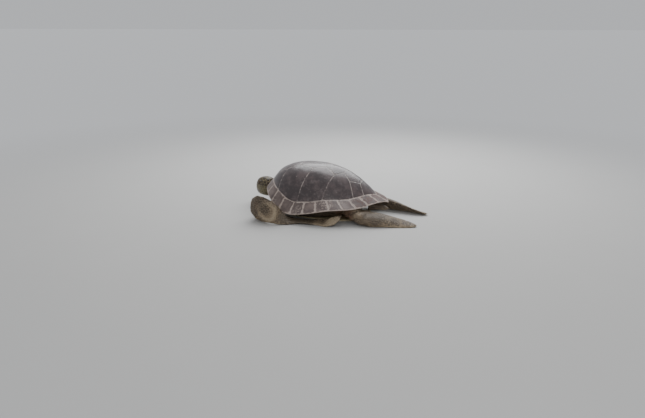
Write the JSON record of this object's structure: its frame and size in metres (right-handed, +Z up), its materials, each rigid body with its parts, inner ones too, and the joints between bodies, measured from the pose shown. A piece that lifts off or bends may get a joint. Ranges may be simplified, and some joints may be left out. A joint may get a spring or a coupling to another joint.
{
  "type": "loggerhead sea turtle, still display model",
  "caption": "Life-size adult sea turtle crawling: domed plated shell, beaked head, swept-back front flippers and trailing hind flippers, for display.",
  "frame": {"origin": "middle of the flat underside of the plastron, on the floor", "axes": "+X towards the head, +Y to the turtle's left, +Z up"},
  "size_m": [1.4478, 0.908, 0.399],
  "materials": {
    "carapace_horn": "wet semi-gloss horn, blotched dark purple-brown",
    "marginal_horn": "satin horn, pinkish grey-brown with pale borders",
    "plastron_horn": "satin cream-yellow horn",
    "skin": "scaly grey-tan skin, slightly damp",
    "head_skin": "dark brown head shields with cream seams",
    "beak_horn": "satin dark horn",
    "eye": "wet gloss, near black",
    "claw_horn": "satin brown horn"
  },
  "bodies": {
    "root": {"beak_lower": "beak_horn", "beak_upper": "beak_horn", "claw_left": "claw_horn", "claw_right": "claw_horn", "costal_left_1": "carapace_horn", "costal_left_2": "carapace_horn", "costal_left_3": "carapace_horn", "costal_left_4": "carapace_horn", "costal_left_5": "carapace_horn", "costal_right_1": "carapace_horn", "costal_right_2": "carapace_horn", "costal_right_3": "carapace_horn", "costal_right_4": "carapace_horn", "costal_right_5": "carapace_horn", "eye_left": "eye", "eye_right": "eye", "front_left_flipper": "skin", "front_left_upper": "skin", "front_right_flipper": "skin", "front_right_upper": "skin", "head": "head_skin", "hind_left_flipper": "skin", "hind_left_thigh": "skin", "hind_right_flipper": "skin", "hind_right_thigh": "skin", "marginal_left_1": "marginal_horn", "marginal_left_10": "marginal_horn", "marginal_left_11": "marginal_horn", "marginal_left_12": "marginal_horn", "marginal_left_2": "marginal_horn", "marginal_left_3": "marginal_horn", "marginal_left_4": "marginal_horn", "marginal_left_5": "marginal_horn", "marginal_left_6": "marginal_horn", "marginal_left_7": "marginal_horn", "marginal_left_8": "marginal_horn", "marginal_left_9": "marginal_horn", "marginal_right_1": "marginal_horn", "marginal_right_10": "marginal_horn", "marginal_right_11": "marginal_horn", "marginal_right_12": "marginal_horn", "marginal_right_2": "marginal_horn", "marginal_right_3": "marginal_horn", "marginal_right_4": "marginal_horn", "marginal_right_5": "marginal_horn", "marginal_right_6": "marginal_horn", "marginal_right_7": "marginal_horn", "marginal_right_8": "marginal_horn", "marginal_right_9": "marginal_horn", "neck": "skin", "nuchal": "marginal_horn", "plastron": "plastron_horn", "tail": "skin", "trunk": "skin", "vertebral_1": "carapace_horn", "vertebral_2": "carapace_horn", "vertebral_3": "carapace_horn", "vertebral_4": "carapace_horn", "vertebral_5": "carapace_horn"}
  },
  "joints": []
}
